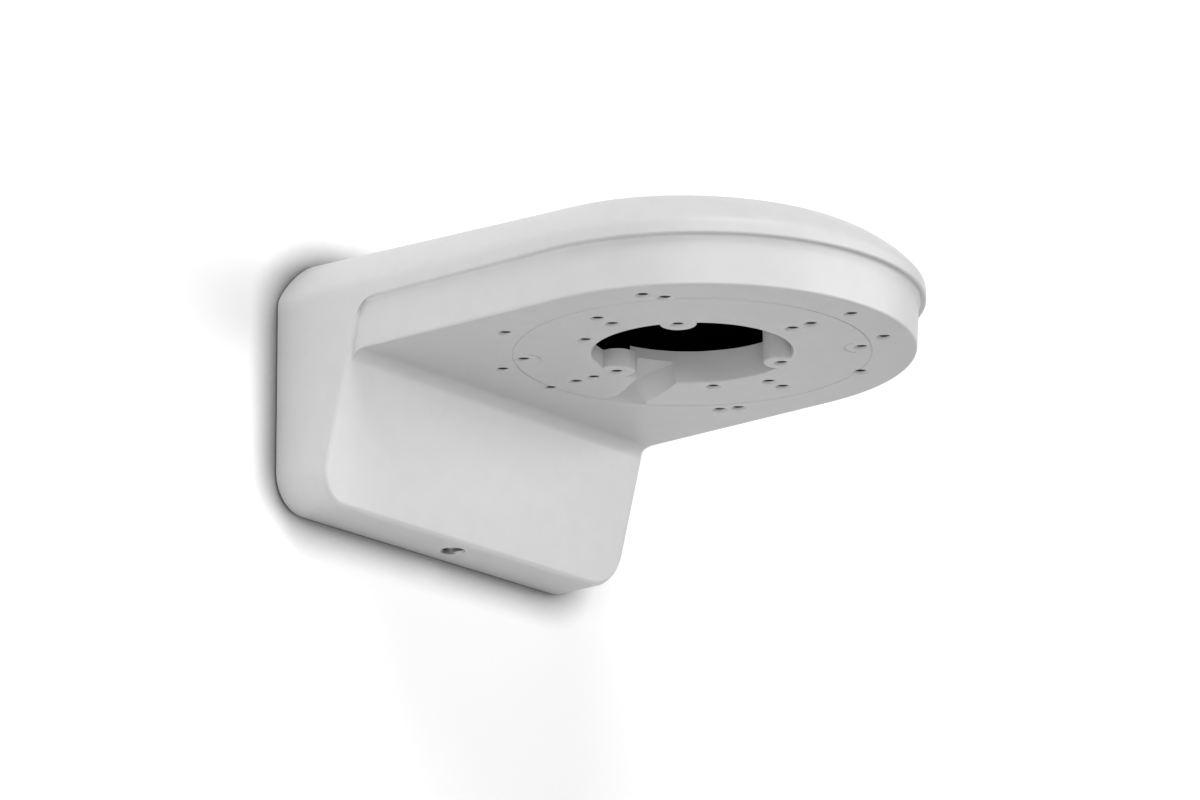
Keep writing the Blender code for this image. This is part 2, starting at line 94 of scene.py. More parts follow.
def noiseOf(tree, vector, size, detail):
    # soft noise with cells about size metres across
    noise = addNode(tree, "ShaderNodeTexNoise", inputs={"Vector": vector, "Scale": 1 / size, "Detail": detail})
    return noise.outputs["Fac"]


def finishMaterial(tree, shader):
    addNode(tree, "ShaderNodeOutputMaterial", inputs={"Surface": shader.outputs[0]})


def meshObject(name, points, faces, materials=()):
    # makes the object, merges doubled points and turns every face outwards
    mesh = bpy.data.meshes.new(name)
    mesh.from_pydata(points.tolist(), [], faces)
    shape = bmesh.new()
    shape.from_mesh(mesh)
    bmesh.ops.remove_doubles(shape, verts=shape.verts, dist=1e-7)
    bmesh.ops.dissolve_degenerate(shape, edges=shape.edges, dist=1e-8)
    bmesh.ops.recalc_face_normals(shape, faces=shape.faces)
    shape.to_mesh(mesh)
    shape.free()
    made = bpy.data.objects.new(name, mesh)
    bpy.context.scene.collection.objects.link(made)
    for material in materials:
        mesh.materials.append(material)
    return made


def gridSolid(name, loops, materials=()):
    # loops is an array of closed loops, rows by columns by xyz: neighbours are joined by quads
    # and the first and last loop are closed by one face each
    rows, columns, _ = loops.shape
    index = np.arange(rows * columns).reshape(rows, columns)
    after = np.roll(index, -1, axis=1)
    quads = np.stack([index[:-1], after[:-1], after[1:], index[1:]], axis=-1).reshape(-1, 4)
    caps = [index[0, ::-1].tolist(), index[-1].tolist()]
    return meshObject(name, loops.reshape(-1, 3), quads.tolist() + caps, materials)


def arcPoints(centre, radius, start, end, count):
    # points on a circle, centre + radius (cos a, sin a), a from start to end in degrees
    angles = np.radians(np.linspace(start, end, count))
    return np.stack([centre[0] + radius * np.cos(angles), centre[1] + radius * np.sin(angles)], axis=1)


def atHeight(outline, z):
    # a flat outline of x and y, lifted to z
    return np.column_stack([outline, np.full(len(outline), z)])


def turnedLoops(profile, steps, axis=(0.0, 0.0)):
    # each (radius, height) of the profile carried once round the vertical line through axis
    profile = np.asarray(profile, float)
    angles = np.arange(steps) * math.tau / steps
    x = axis[0] + profile[:, :1] * np.cos(angles)
    y = axis[1] + profile[:, :1] * np.sin(angles)
    z = np.repeat(profile[:, 1:], steps, axis=1)
    return np.stack([x, y, z], axis=-1)


def prismLoops(outline, low, high):
    # an outline in the y-z plane carried along x
    return np.stack([np.column_stack([np.full(len(outline), x), outline]) for x in (low, high)])


def combine(target, tool, operation):
    # one exact Boolean step; the tool is removed when the target is finished
    step = target.modifiers.new(tool.name, "BOOLEAN")
    step.object = tool
    step.operation = operation
    step.solver = "EXACT"
    step.material_mode = "TRANSFER"
    tool.hide_render = True


def shaded(target, sharpAngle):
    # smooth shading, with edges above the angle left sharp
    target.data.shade_smooth()
    target.data.set_sharp_from_angle(angle=math.radians(sharpAngle))
    return target


def settle(target, name, sharpAngle):
    # applies the modifiers of a piece and removes its tools
    graph = bpy.context.evaluated_depsgraph_get()
    mesh = bpy.data.meshes.new_from_object(target.evaluated_get(graph))
    tools = [step.object for step in target.modifiers if step.type == "BOOLEAN"]
    target.modifiers.clear()
    target.data = mesh
    for tool in tools:
        bpy.data.objects.remove(tool, do_unlink=True)
    target.name = name
    mesh.name = name
    shaded(target, sharpAngle)
    weighted = target.modifiers.new("even_shading", "WEIGHTED_NORMAL")
    weighted.keep_sharp = True
    weighted.weight = 100
    return target


coat = {
    "colour": "#D4D4D4",          # neutral white powder
    "shade": "#CDCDCD",           # where the film is a little thinner
    "roughness": 0.44,
    "grit": 0.0009,               # grain of the textured film
    "flow": 0.006,                # slow waves in the baked film
}


def texturedPowderCoat():
    # polyester powder, sprayed on and baked: a satin white with a fine dry grain and no sparkle
    material, tree, place = newMaterial("textured_powder_coat")
    film = noiseOf(tree, place, coat["flow"], 2.0)
    grain = noiseOf(tree, place, coat["grit"], 3.0)
    tone = addNode(tree, "ShaderNodeMix", {"data_type": "RGBA"}, {
        0: film, 6: linearColour(coat["colour"]), 7: linearColour(coat["shade"])})
    rough = addNode(tree, "ShaderNodeMapRange", inputs={
        "Value": grain, "From Min": 0.3, "From Max": 0.7,
        "To Min": coat["roughness"] - 0.05, "To Max": coat["roughness"] + 0.07})
    slow = addNode(tree, "ShaderNodeBump", inputs={
        "Height": film, "Strength": 0.12, "Distance": 0.0001})
    fine = addNode(tree, "ShaderNodeBump", inputs={
        "Height": grain, "Strength": 0.28, "Distance": 0.00006,
        "Normal": slow.outputs["Normal"]})
    shader = addNode(tree, "ShaderNodeBsdfPrincipled", inputs={
        "Base Color": tone.outputs[2], "Roughness": rough.outputs["Result"],
        "Normal": fine.outputs["Normal"], "IOR": 1.5})
    finishMaterial(tree, shader)
    return material


# dull black for the inside of the arm: painted shade
hollowShade = {"colour": "#0C0C0D", "roughness": 0.75, "grit": 0.0012}


def paintedShadeBlack():
    # a dull black painted inside the hollow arm, on the collar, the nose and the notch's roof: painted shade
    # for the dark inside of the arm
    material, tree, place = newMaterial("painted_shade_black")
    cast = noiseOf(tree, place, hollowShade["grit"], 4.0)
    bump = addNode(tree, "ShaderNodeBump", inputs={
        "Height": cast, "Strength": 0.5, "Distance": 0.0001})
    shader = addNode(tree, "ShaderNodeBsdfPrincipled", inputs={
        "Base Color": linearColour(hollowShade["colour"]), "Roughness": hollowShade["roughness"],
        "Normal": bump.outputs["Normal"], "IOR": 1.5})
    shader.inputs["Specular IOR Level"].default_value = 0.15
    finishMaterial(tree, shader)
    return material


zinc = {
    "bright": "#C9CDD2",
    "dull": "#A9AEB4",
    "screwBright": "#CFCDC6",     # the screws and washers are passivated: a warmer grey
    "screwDull": "#B4B2AC",
    "roughness": 0.34,
    "cell": 0.0032,               # size of the clouds in the plating
    "rolling": 0.00045,           # spacing of the sheet's rolling lines
}


def zincPlatedSteel(name, colour, dull, lines):
    # electroplated zinc on steel: a cool grey metal, clouded, with the rolling lines showing through
    material, tree, place = newMaterial(name)
    cloud = noiseOf(tree, place, zinc["cell"], 4.0)
    stretch = addNode(tree, "ShaderNodeMapping", inputs={"Vector": place, "Scale": lines})
    roll = noiseOf(tree, stretch.outputs["Vector"], zinc["rolling"], 2.0)
    tone = addNode(tree, "ShaderNodeMix", {"data_type": "RGBA"}, {
        0: cloud, 6: linearColour(colour), 7: linearColour(dull)})
    rough = addNode(tree, "ShaderNodeMapRange", inputs={
        "Value": cloud, "From Min": 0.3, "From Max": 0.7,
        "To Min": zinc["roughness"] - 0.06, "To Max": zinc["roughness"] + 0.1})
    bump = addNode(tree, "ShaderNodeBump", inputs={
        "Height": roll, "Strength": 0.25, "Distance": 0.00003})
    shader = addNode(tree, "ShaderNodeBsdfPrincipled", inputs={
        "Base Color": tone.outputs[2], "Roughness": rough.outputs["Result"],
        "Metallic": 1.0, "Normal": bump.outputs["Normal"]})
    finishMaterial(tree, shader)
    return material


stainless = {"colour": "#BDBBB7", "roughness": 0.27, "turning": 0.00012}


def turnedStainless(axis):
    # A2 stainless bar, turned and thread-rolled: a warm grey metal with fine rings round its axis
    material, tree, place = newMaterial("turned_stainless")
    centred = addNode(tree, "ShaderNodeMapping", inputs={
        "Vector": place, "Location": (-axis[0], -axis[1], 0.0)})
    rings = addNode(tree, "ShaderNodeTexWave", {"wave_type": "RINGS", "rings_direction": "Z"}, {
        "Vector": centred.outputs["Vector"], "Scale": 0.05 / stainless["turning"],
        "Distortion": 0.6, "Detail": 1.0})
    bump = addNode(tree, "ShaderNodeBump", inputs={
        "Height": rings.outputs["Fac"], "Strength": 0.2, "Distance": 0.00002})
    rough = addNode(tree, "ShaderNodeMapRange", inputs={
        "Value": rings.outputs["Fac"],
        "To Min": stainless["roughness"] - 0.05, "To Max": stainless["roughness"] + 0.08})
    shader = addNode(tree, "ShaderNodeBsdfPrincipled", inputs={
        "Base Color": linearColour(stainless["colour"]), "Roughness": rough.outputs["Result"],
        "Metallic": 1.0, "Normal": bump.outputs["Normal"]})
    finishMaterial(tree, shader)
    return material


nylon = {"colour": "#8F9296", "shade": "#84878B", "roughness": 0.48, "grain": 0.0007}


def mouldedPolyamide():
    # injection-moulded polyamide: a grey plastic, slightly waxy, with the spark-eroded mould's grain
    material, tree, place = newMaterial("moulded_polyamide")
    grain = noiseOf(tree, place, nylon["grain"], 3.0)
    tone = addNode(tree, "ShaderNodeMix", {"data_type": "RGBA"}, {
        0: grain, 6: linearColour(nylon["colour"]), 7: linearColour(nylon["shade"])})
    bump = addNode(tree, "ShaderNodeBump", inputs={
        "Height": grain, "Strength": 0.3, "Distance": 0.00004})
    shader = addNode(tree, "ShaderNodeBsdfPrincipled", inputs={
        "Base Color": tone.outputs[2], "Roughness": nylon["roughness"],
        "Normal": bump.outputs["Normal"], "IOR": 1.53})
    finishMaterial(tree, shader)
    return material


casting = {
    "halfWidth": 0.061,
    "wallDrop": 0.0385,           # the bottom face, below the seat
    "footDepth": 0.0151,          # depth of the wall part at the bottom face
    "seatDepth": 0.0256,          # and at the height of the seat
    "reach": 0.0903,              # wall to the centre of the round end
    "wallGap": 0.0004,
    "cornerRadius": 0.010,
    "panelEdge": 0.0012,          # rounding round the inclined panel
    "rimBottom": 0.0128,
    "rimHeight": 0.0185,
    "topFall": 0.0049,            # how much lower the top is at the round end
    "crown": 0.0030,
    "lipEdge": 0.0008,
    "shoulderIn": 0.0145,
    "shoulderDrop": 0.0140,
    "shoulderPower": 1.31,
    "shoulderSoft": 0.0022,       # the shoulder runs softly into the band and the crown
    "skirtRadius": 0.0584,
    "skirtHalfAtWall": 0.0598,
    "skirtDraft": 0.0006,
    "skirtEdge": 0.0007,          # rounding between the skirt and the seat
    "lipHollow": 0.0009,          # hollow fillet under the lip: how far it reaches out
    "lipHollowHeight": 0.0010,
    "seatFillet": 0.0042,         # hollow corner between the panel and the seat
    "lipCorner": 0.0052,          # hollow corner between the panel's edge and the lip
    "shell": 0.003,
    "armWall": 0.0034,
    "seatThickness": 0.005,
}
seat = {
    "openingRadius": 0.0262,
    "openingEdge": 0.0005,        # rounding of the opening's rim
    "bossRadius": 0.0048,         # bosses that stand into the opening
    "bossCircle": 0.0251,
    "bossAngles": (90, 210, 330),
    "lowCollar": 0.0051,          # height of the collar beside the cable notch
    "lowFrom": 77,                # and the angle where it starts; it ends at the nose
    "collarHeight": 0.0088,
    "collarWall": 0.0038,
    "noseStart": 0.0035,
    "lineRadius": 0.0466,         # engraved circle
    "lineWidth": 0.00022,
    "padRadius": 0.0045,          # small arcs round two of the holes
    "padCircle": 0.0440,
    "padAngles": (123.2, 303.2),
    "holeRadius": 0.0015,
    "holeChamfer": 0.0021,
    "holeDepth": 0.0042,
    # bolt circles: radius, first angle and number of holes
    "holes": ((0.0251, 90, 3), (0.0301, 27.5, 1), (0.0301, 152.5, 1), (0.0328, 0, 4), (0.0388, 0, 4),
              (0.0440, 123.2, 2), (0.0476, 90, 3), (0.0510, 24.2, 4), (0.0516, 30, 3)),
    "notchAngle": 60,
    "notchHalf": 0.0057,
    "notchEnd": 0.0465,
    "notchHeight": 0.006,
}
lock = {"y": -0.0085, "hole": 0.0028, "chamfer": 0.0034, "bossRadius": 0.0052, "flange": -0.0250, "lift": 0.006}
hanger = {"back": -0.0026, "thickness": 0.0026, "low": 0.0123, "half": 0.045}

rimTop = casting["rimBottom"] + casting["rimHeight"]
hangerTop = rimTop - casting["shell"] - 0.003
noseCeiling = rimTop - casting["topFall"] * 0.84 - casting["shell"]
panelSlope = (casting["seatDepth"] - casting["footDepth"]) / casting["wallDrop"]
seatCentre = (0.0, -casting["reach"])


def panelY(z):
    # the panel leans forward in a straight line from the foot to the seat
    return -(casting["footDepth"] + panelSlope * (z + casting["wallDrop"]))


def armOutline(halfAtWall, radius, start, count=121):
    # two straight sides from the wall part, tangent to a round end about the seat's centre
    run = casting["reach"] - start
    tangent = math.degrees(math.atan2(run, halfAtWall) - math.acos(radius / math.hypot(halfAtWall, run)))
    end = arcPoints(seatCentre, radius, tangent, -180 - tangent, count)
    return np.vstack([[(halfAtWall, -start)], end, [(-halfAtWall, -start)]])


def shoulderCurve(degrees):
    # a superellipse quarter: in = a(1 - cos^(2/n)), down = b(1 - sin^(2/n))
    a = np.radians(degrees)
    power = 2 / casting["shoulderPower"]
    inset = casting["shoulderIn"] * (1 - np.cos(a) ** power)
    return inset, casting["shoulderDrop"] * (1 - np.sin(a) ** power)


def fallen(outline, z):
    # the higher a point of the rim lies, the more it sinks towards the round end
    share = max(0.0, (z - casting["rimBottom"]) / casting["rimHeight"])
    drop = share * casting["topFall"] * outline[:, 1] / (casting["reach"] + casting["halfWidth"])
    return np.column_stack([outline, z + drop])


def softened(profile, reach, count, samples=600):
    # walks along a profile in even steps and takes a running mean over reach, so that it turns softly
    steps = np.linalg.norm(np.diff(profile, axis=0), axis=1)
    along = np.concatenate([[0], np.cumsum(steps)])
    even = np.linspace(0, along[-1], samples)
    dense = np.stack([np.interp(even, along, profile[:, axis]) for axis in (0, 1)], axis=1)
    window = max(3, round(reach / (along[-1] / (samples - 1))))
    kernel = np.ones(window) / window
    # both ends are mirrored through their end points, which keeps those where they are
    before, after = 2 * dense[0] - dense[window:0:-1], 2 * dense[-1] - dense[-2:-window - 2:-1]
    padded = np.vstack([before, dense, after])
    mean = np.stack([np.convolve(padded[:, axis], kernel, "same") for axis in (0, 1)], axis=1)
    return mean[window:window + samples][np.linspace(0, samples - 1, count).round().astype(int)]


def rimLoops():
    # rim and top: the D outline shrinks as it follows the lip, the band, the shoulder and the crown
    half, lip, shoulderIn = casting["halfWidth"], casting["lipEdge"], casting["shoulderIn"]
    edge = arcPoints((lip, lip), lip, -90, -180, 6)
    profile = np.column_stack([edge[:, 0], casting["rimBottom"] + edge[:, 1]])
    inset, drop = shoulderCurve(np.linspace(0, 90, 61))
    share = np.linspace(0.04, 0.985, 40)
    crown = rimTop + casting["crown"] * (1 - (1 - share) ** 2)
    upper = np.vstack([[(0.0, casting["rimBottom"] + lip + 0.0001)], np.column_stack([inset, rimTop - drop]),
                       np.column_stack([shoulderIn + share * (half - shoulderIn), crown])])
    profile = np.vstack([profile, softened(upper, casting["shoulderSoft"], 80)[1:]])
    return np.stack([fallen(armOutline(half - inset, half - inset, casting["wallGap"]), z)
                     for inset, z in profile])


def skirtLoops():
    # skirt: rounded at the seat, drafted, and flared by a hollow fillet under the lip
    edge, hollow, top = casting["skirtEdge"], casting["lipHollow"], casting["rimBottom"]
    low = arcPoints((-edge, edge), edge, -90, 0, 7)
    flare = arcPoints((hollow, 0), hollow, 180, 95, 9)
    flare[:, 0] += casting["skirtDraft"]
    flare[:, 1] = top + (flare[:, 1] / hollow - 1) * casting["lipHollowHeight"]
    inner = np.array([[flare[-1, 0], top + 0.002]])
    profile = np.vstack([low, flare, inner])
    half, radius = casting["skirtHalfAtWall"], casting["skirtRadius"]
    room = (casting["halfWidth"] - half - casting["lipEdge"] * 0.2) / profile[:, 0].max()   # less at the wall
    return np.stack([atHeight(armOutline(half + wide * min(1, room), radius + wide, casting["footDepth"]), z)
                     for wide, z in profile])


def plateOutline(half, low, high, lowRadius, highRadius, count=13):
    # rounded rectangle with its own radius below and above
    right = np.vstack([arcPoints((half - lowRadius, low + lowRadius), lowRadius, -90, 0, count),
                       arcPoints((half - highRadius, high - highRadius), highRadius, 0, 90, count)])
    return np.vstack([right, right[::-1] * (-1, 1)])


def wallPartLoops():
    # wall part: the rounded outline carried forward to the panel, shrinking over the rounded edge
    edge = casting["panelEdge"]
    loops = []
    top = casting["rimBottom"] + casting["lipEdge"]
    back = plateOutline(casting["halfWidth"], -casting["wallDrop"], top, casting["cornerRadius"], 0.0005)
    loops.append(np.column_stack([back[:, 0], np.full(len(back), -casting["wallGap"]), back[:, 1]]))
    for angle in np.radians(np.linspace(0, 90, 8)):
        inset = edge * (1 - math.cos(angle))
        outline = plateOutline(casting["halfWidth"] - inset, -casting["wallDrop"] + inset, top,
                               casting["cornerRadius"] - inset, 0.0005)
        y = panelY(outline[:, 1]) + edge * (1 - math.sin(angle))
        loops.append(np.column_stack([outline[:, 0], y, outline[:, 1]]))
    return np.stack(loops)


def hollowCorner(radius, level, overlap=0.001):
    # section of a hollow fillet between the panel and a level face, as y and z
    lean = math.atan(panelSlope)
    corner = panelY(level)
    run = radius / math.tan((math.pi / 2 + lean) / 2)
    centre = (corner - run, level - radius)
    curve = arcPoints(centre, radius, math.degrees(lean), 90, 14)
    return np.vstack([curve, [(centre[0], level + overlap), (corner + 2 * overlap, level + overlap),
                              (curve[0, 0] + 2 * overlap, curve[0, 1])]])


def lipCornerLoops():
    # the fillet under the lip, which shrinks over its rounded outer ends
    half, edge, level = casting["halfWidth"] - 0.00003, casting["panelEdge"], casting["rimBottom"]
    angles = np.radians(np.linspace(0, 90, 6))
    x = half - edge * (1 - np.sin(angles))
    radii = casting["lipCorner"] - 2 * edge * (1 - np.cos(angles))
    ends = []
    for at, radius in zip(x, radii[::-1]):
        section = hollowCorner(radius, level)
        ends.append(np.column_stack([np.full(len(section), at), section]))
    right = np.stack(ends)
    left = right[::-1] * (-1, 1, 1)
    return np.vstack([left, right])


def cavityLoops():
    # room for the wall plate, open at the back
    shell = casting["shell"]
    half, radius = casting["halfWidth"] - shell, casting["cornerRadius"] - shell
    corner = arcPoints((half - radius, -casting["wallDrop"] + shell + radius), radius, -90, 0, 12)
    inset, drop = shoulderCurve(np.linspace(0, 90, 18))
    right = np.vstack([corner, np.column_stack([half - inset, hangerTop - drop])])
    outline = np.vstack([right, right[::-1] * (-1, 1)])
    front = panelY(np.minimum(outline[:, 1], 0)) + shell
    back = np.full(len(outline), 0.002)
    return np.stack([np.column_stack([outline[:, 0], y, outline[:, 1]]) for y in (back, front)])


def channelLoops():
    # hollow of the arm, which takes the cable
    start = hanger["thickness"] - hanger["back"] + 0.0006
    side = casting["halfWidth"] - casting["skirtRadius"] + casting["armWall"]
    inset, drop = shoulderCurve(np.linspace(0, 90, 12))
    profile = np.vstack([[(side, casting["seatThickness"])],
                         np.column_stack([side + inset, rimTop - casting["shell"] - drop])])
    return np.stack([fallen(armOutline(casting["halfWidth"] - i, casting["halfWidth"] - i, start, 73), z)
                     for i, z in profile])


def openingOutline(bosses, grow=0.0):
    # the opening's circle with round bosses cut out of it; grow widens it all round
    radius, boss = seat["openingRadius"] + grow, seat["bossRadius"] - grow
    centre = seat["bossCircle"]
    halfCut = math.degrees(math.acos((radius ** 2 + centre ** 2 - boss ** 2) / (2 * radius * centre)))
    points = []
    for here, after in zip(bosses, (*bosses[1:], bosses[0] + 360)):
        a = math.radians(here)
        middle = (centre * math.cos(a), centre * math.sin(a))
        cut = math.radians(here + halfCut)
        aside, ahead = radius * math.cos(cut) - middle[0], radius * math.sin(cut) - middle[1]
        turn = (math.degrees(math.atan2(ahead, aside)) - here) % 360
        points.append(arcPoints(middle, boss, here + 360 - turn, here + turn, 31)[1:-1])
        points.append(arcPoints((0, 0), radius, here + halfCut, after - halfCut, 49))
    return np.vstack(points) + seatCentre


def openingLoops(bosses, low, high, flared):
    # cutter of the opening: straight, with a rounded mouth at the seat
    edge = seat["openingEdge"]
    steps = [(0.0, low), (0.0, high)]
    if flared:
        angles = np.radians(np.linspace(0, 90, 6))
        mouth = [(edge * (1 - math.sin(a)), edge * (1 - math.cos(a))) for a in angles]
        steps = [(edge, low), *mouth, (0.0, high)]
    return np.stack([atHeight(openingOutline(bosses, grow), z) for grow, z in steps])


def turnedAboutSeat(points, degrees):
    # points given along x from the seat's centre, turned about it
    c, s = math.cos(math.radians(degrees)), math.sin(math.radians(degrees))
    x, y = points[..., 0], points[..., 1]
    return np.stack([seatCentre[0] + c * x - s * y, seatCentre[1] + s * x + c * y, points[..., 2]], axis=-1)


def notchLoops():
    # cable notch: a box at the collar that narrows outwards to a valley and ends in a steep facet
    half, height = seat["notchHalf"], seat["notchHeight"]
    inner, end = seat["openingRadius"] - 0.004, seat["notchEnd"]
    # distance, height, and how far the foot and the top reach to the left and to the right
    stations = ((inner, height, 1.00, 1.00, 0.92, 0.92),
                (0.0285, height, 1.00, 1.00, 0.92, 0.92),
                (0.0340, height * 0.97, 1.00, 1.00, 0.62, 0.60),
                (0.0395, height * 0.82, 1.05, 1.00, 0.12, 0.14),
                (0.0428, height * 0.64, 1.22, 1.01, 0.16, 0.08),
                (end, 0.0001, 1.36, 1.04, 1.34, 1.02))
    loops = []
    for at, top, footLeft, footRight, topLeft, topRight in stations:
        across = half * np.array([-footRight, footLeft, topLeft, -topRight])
        up = np.array([-0.001, -0.001, top, top])
        loops.append(np.column_stack([np.full(4, at), across, up]))
    return turnedAboutSeat(np.stack(loops), seat["notchAngle"])


def notchRoofLoops():
    # roof over the notch, inside the arm
    low, high = casting["seatThickness"] - 0.001, seat["notchHeight"] + 0.0025
    inner, end, half = seat["openingRadius"] + 0.001, 0.0400, seat["notchHalf"] + 0.0025
    corners = np.array([(inner, -half), (end, -half), (end, half), (inner, half)])
    return turnedAboutSeat(np.stack([atHeight(corners, low), atHeight(corners, high)]), seat["notchAngle"])


def holePlaces():
    # every hole of every bolt circle, as x and y
    places = []
    for radius, first, count in seat["holes"]:
        angles = np.radians(first + np.arange(count) * 360 / count)
        places.append(np.stack([radius * np.cos(angles), radius * np.sin(angles)], axis=1))
    return np.vstack(places) + seatCentre


def manyTurned(name, profile, steps, places, materials):
    # the same turned solid at many places, as one mesh
    one = turnedLoops(profile, steps)
    rows, columns, _ = one.shape
    index = np.arange(rows * columns).reshape(rows, columns)
    after = np.roll(index, -1, axis=1)
    quads = np.stack([index[:-1], after[:-1], after[1:], index[1:]], axis=-1).reshape(-1, 4)
    points, faces = [], []
    for number, (x, y) in enumerate(places):
        shift = number * rows * columns
        points.append(one.reshape(-1, 3) + (x, y, 0))
        faces += (quads + shift).tolist() + [(index[0, ::-1] + shift).tolist(), (index[-1] + shift).tolist()]
    return meshObject(name, np.vstack(points), faces, materials)


def grooveLoops(centre, radius, start, end, count):
    # a thin ring or arc of round section, carried along a circle at the seat's face
    angles = np.radians(np.linspace(start, end, count))
    section = (np.arange(8) + 0.5) * math.tau / 8
    r = radius + seat["lineWidth"] * np.cos(section)
    x = centre[0] + r[None, :] * np.cos(angles)[:, None]
    y = centre[1] + r[None, :] * np.sin(angles)[:, None]
    z = np.repeat(seat["lineWidth"] * np.sin(section)[None, :], count, axis=0)
    return np.stack([x, y, z], axis=-1)


def addedLoops():
    # what stands inside the casting: name, shape, and whether it is coated white; the rest take the black
    # painted shade
    collar = seat["openingRadius"] + seat["collarWall"]
    low = casting["seatThickness"] - 0.001
    nose = arcPoints((0.0, seatCentre[1] - seat["noseStart"]), collar - 0.0002, 0, -180, 61)
    half, front = hanger["half"], hanger["back"] - hanger["thickness"]
    rib = np.array([(-half, front), (half, front), (half, hanger["back"]), (-half, hanger["back"])])
    foot, top = -casting["wallDrop"] + 0.001, lock["flange"] - lock["lift"] - 0.0005
    boss = [(lock["bossRadius"], foot), (lock["bossRadius"], top)]
    return (
        ("collar", turnedLoops([(collar, low), (collar, seat["collarHeight"])], 96, seatCentre), False),
        ("nose", np.stack([atHeight(nose, low - 0.0005), atHeight(nose, noseCeiling + 0.0016)]), False),
        ("notch_roof", notchRoofLoops(), False),
        ("hanger", np.stack([atHeight(rib, hanger["low"]), atHeight(rib, hangerTop + 0.001)]), True),
        ("lock_boss", turnedLoops(boss, 48, (0, lock["y"])), True),
    )


def aboveLowCollar():
    # what is cut off the collar on the wall's side, from its start round to the nose
    beyond, ahead = seat["openingRadius"] + seat["collarWall"] + 0.001, 0.0001 - seat["noseStart"]
    sector = np.vstack([arcPoints((0, 0), beyond, seat["lowFrom"], 180, 61), [(-beyond, ahead), (0, ahead)]])
    sector += seatCentre
    low, high = seat["lowCollar"] + 0.00003, seat["collarHeight"] + 0.001
    return np.stack([atHeight(sector, low), atHeight(sector, high)])


def castingPiece(white, black, thread, bare):
    # the outer shape first, then the hollows, then what stands in them, then the openings
    body = gridSolid("bracket_shell", wallPartLoops(), (white,))

    def cut(name, loops, material):
        combine(body, gridSolid(name, loops, (material,)), "DIFFERENCE")

    reach = casting["skirtHalfAtWall"] - 0.0003
    fillet = prismLoops(hollowCorner(casting["seatFillet"], 0.0), -reach, reach)
    for name, loops in (("skirt", skirtLoops()), ("rim", rimLoops()), ("fillet", fillet),
                        ("corner", lipCornerLoops())):
        combine(body, gridSolid(name, loops, (white,)), "UNION")
    cut("cavity", cavityLoops(), white)
    # the arm's hollow takes the black painted shade
    cut("channel", channelLoops(), black)
    for name, loops, coated in addedLoops():
        combine(body, gridSolid(name, loops, (white if coated else black,)), "UNION")
    cut("above_low_collar", aboveLowCollar(), black)
    bosses, step = seat["bossAngles"], seat["lowCollar"]
    cut("opening", openingLoops(bosses, -0.002, step, True), white)
    cut("opening_above", openingLoops(bosses[1:], step, noseCeiling, False), white)
    cut("notch", notchLoops(), white)
    wide, narrow, depth = seat["holeChamfer"], seat["holeRadius"], seat["holeDepth"]
    mouth = [(wide + 0.0005, -0.0005), (wide, 0.0), (narrow, wide - narrow)]
    bore = [(narrow - 0.00002, -0.001), (narrow - 0.00002, depth), (0.0001, depth + 0.0006)]
    combine(body, manyTurned("mouths", mouth, 28, holePlaces(), (white,)), "DIFFERENCE")
    # the bores take the darkened grey: painted shade inside the holes
    combine(body, manyTurned("bores", bore, 28, holePlaces(), (thread,)), "DIFFERENCE")
    floor, hole, chamfer = -casting["wallDrop"], lock["hole"], lock["chamfer"]
    lockHole = [(chamfer + 0.0005, floor - 0.0005), (hole, floor + chamfer - hole),
                (hole, lock["flange"] - 0.003)]
    cut("lock_hole", turnedLoops(lockHole, 48, (0, lock["y"])), bare)
    cut("line", grooveLoops(seatCentre, seat["lineRadius"], 0, 359.99, 241), white)
    for angle in seat["padAngles"]:
        a = math.radians(angle)
        pad = (seat["padCircle"] * math.cos(a), seatCentre[1] + seat["padCircle"] * math.sin(a))
        cut("pad", grooveLoops(pad, seat["padRadius"], angle + 115, angle + 245, 25), white)
    return settle(body, "bracket_shell", 28)


# the tapped bores' grey is bare aluminium darkened further: painted shade deep in the holes
machined = {"thread": "#6C6C6C", "bright": "#B9BABB", "roughness": 0.32, "marks": 0.00025}


def cutAluminium(name, colour, metallic):
    # bare aluminium where a drill, tap or countersink went through the coat: grey with fine round tool marks
    material, tree, place = newMaterial(name)
    marks = noiseOf(tree, place, machined["marks"], 2.0)
    bump = addNode(tree, "ShaderNodeBump", inputs={
        "Height": marks, "Strength": 0.3, "Distance": 0.00003})
    rough = addNode(tree, "ShaderNodeMapRange", inputs={
        "Value": marks,
        "To Min": machined["roughness"] - 0.08, "To Max": machined["roughness"] + 0.1})
    shader = addNode(tree, "ShaderNodeBsdfPrincipled", inputs={
        "Base Color": linearColour(colour), "Roughness": rough.outputs["Result"],
        "Metallic": metallic, "Normal": bump.outputs["Normal"]})
    finishMaterial(tree, shader)
    return material


powderCoat = texturedPowderCoat()
shell = castingPiece(powderCoat, paintedShadeBlack(), cutAluminium("tapped_aluminium_painted_shade", machined["thread"], 0.6),
                     cutAluminium("countersunk_aluminium", machined["bright"], 1.0))
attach(shell, "bracket")
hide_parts("bracket_body")
print("casting:", len(shell.data.polygons), "faces")


setScrew = {
    "pitch": 0.0008,
    "threadDepth": 0.00042,
    "threadFade": 0.0006,
    "chamfer": 0.0006,
    "socket": 0.00125,            # half of the hexagon's width across its flats
    "socketDepth": 0.0026,
    "socketLead": 0.00025,        # the socket widens over this length
    "socketFlare": 1.14,
    "socketCone": 0.0005,         # left by the drill
    "cupRim": 0.62,               # share of the radius
    "cupEdge": 0.5,
    "cupDepth": 0.0008,
    "columns": 96,
    "rowsPerTurn": 12,
}


